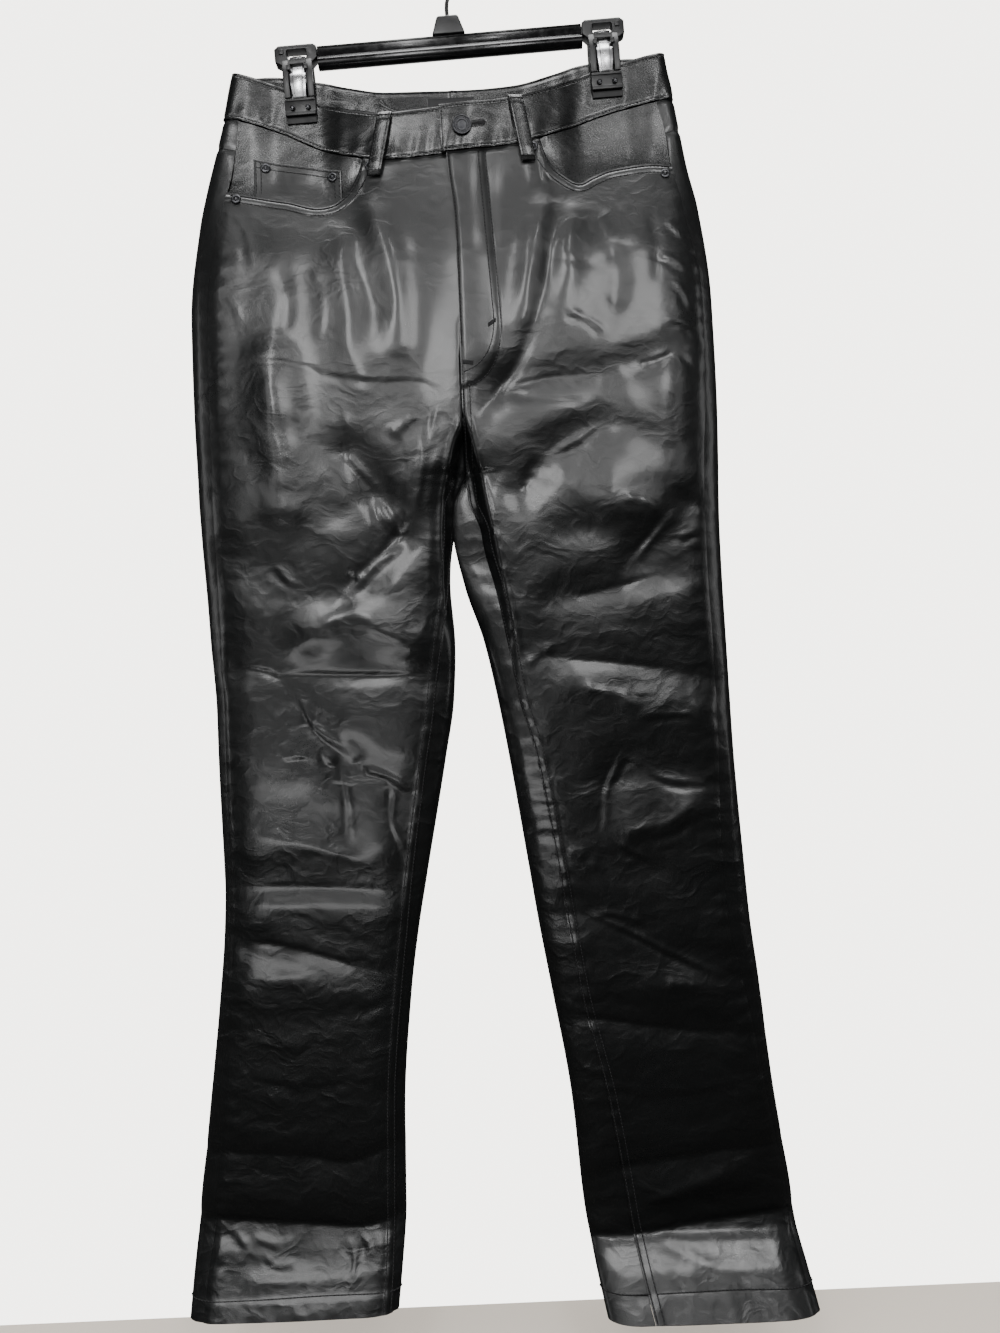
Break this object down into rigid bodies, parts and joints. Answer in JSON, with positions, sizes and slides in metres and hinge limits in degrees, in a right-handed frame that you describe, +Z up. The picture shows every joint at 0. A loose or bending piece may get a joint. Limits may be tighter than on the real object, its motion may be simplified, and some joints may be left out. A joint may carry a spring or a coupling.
{
  "type": "faux leather trousers on a clip hanger",
  "caption": "Straight-leg faux leather trousers with front and back pockets, belt loops, a buttoned waistband and a fly, clamped flat by the waist in a wire-hook clip hanger.",
  "frame": {"origin": "inside top of the hanger's hook, where a rail or wall hook touches it", "axes": "+Z up, +X along the hanger towards the leg shown on the right, +Y from the front of the trousers to the back"},
  "size_m": [0.5318, 0.0783, 1.1842],
  "materials": {
    "black_plastic": "gloss",
    "chrome_wire": "polished",
    "faux_leather": "satin, fine pebble grain",
    "faux_leather_band": "satin, fine pebble grain",
    "gunmetal": "dark plated metal",
    "label_cloth": "matt weave",
    "pad_rubber": "matt",
    "pocket_facing": "satin, fine pebble grain",
    "spring_steel": "bright strip"
  },
  "bodies": {
    "root": {"front_panel_left": "faux_leather", "back_panel_left": "faux_leather", "back_yoke_left": "faux_leather", "waistband_left": "faux_leather_band", "pocket_facing_left": "pocket_facing", "back_pocket_left": "faux_leather", "front_panel_right": "faux_leather", "back_panel_right": "faux_leather", "back_yoke_right": "faux_leather", "waistband_right": "faux_leather_band", "pocket_facing_right": "pocket_facing", "back_pocket_right": "faux_leather", "coin_pocket": "faux_leather", "belt_loop_front_left": "faux_leather_band", "belt_loop_front_right": "faux_leather_band", "belt_loop_back_left": "faux_leather_band", "belt_loop_back_right": "faux_leather_band", "belt_loop_back_middle": "faux_leather_band", "inside_label": "label_cloth", "rivet_left_inner": "gunmetal", "rivet_left_outer": "gunmetal", "rivet_right_inner": "gunmetal", "rivet_right_outer": "gunmetal", "rivet_coin_outer": "gunmetal", "rivet_coin_inner": "gunmetal", "waist_button": "gunmetal", "hanger_hook": "chrome_wire", "hanger_boss": "black_plastic", "hanger_bar": "black_plastic", "end_frame_left": "black_plastic", "clip_spring_left_front": "spring_steel", "clip_pad_left_front": "pad_rubber", "clip_jaw_left_front": "black_plastic", "clip_pin_left_front_a": "spring_steel", "clip_pin_left_front_b": "spring_steel", "clip_spring_left_back": "spring_steel", "clip_pad_left_back": "pad_rubber", "clip_jaw_left_back": "black_plastic", "clip_pin_left_back_a": "spring_steel", "clip_pin_left_back_b": "spring_steel", "end_frame_right": "black_plastic", "clip_spring_right_front": "spring_steel", "clip_pad_right_front": "pad_rubber", "clip_jaw_right_front": "black_plastic", "clip_pin_right_front_a": "spring_steel", "clip_pin_right_front_b": "spring_steel", "clip_spring_right_back": "spring_steel", "clip_pad_right_back": "pad_rubber", "clip_jaw_right_back": "black_plastic", "clip_pin_right_back_a": "spring_steel", "clip_pin_right_back_b": "spring_steel"}
  },
  "joints": []
}
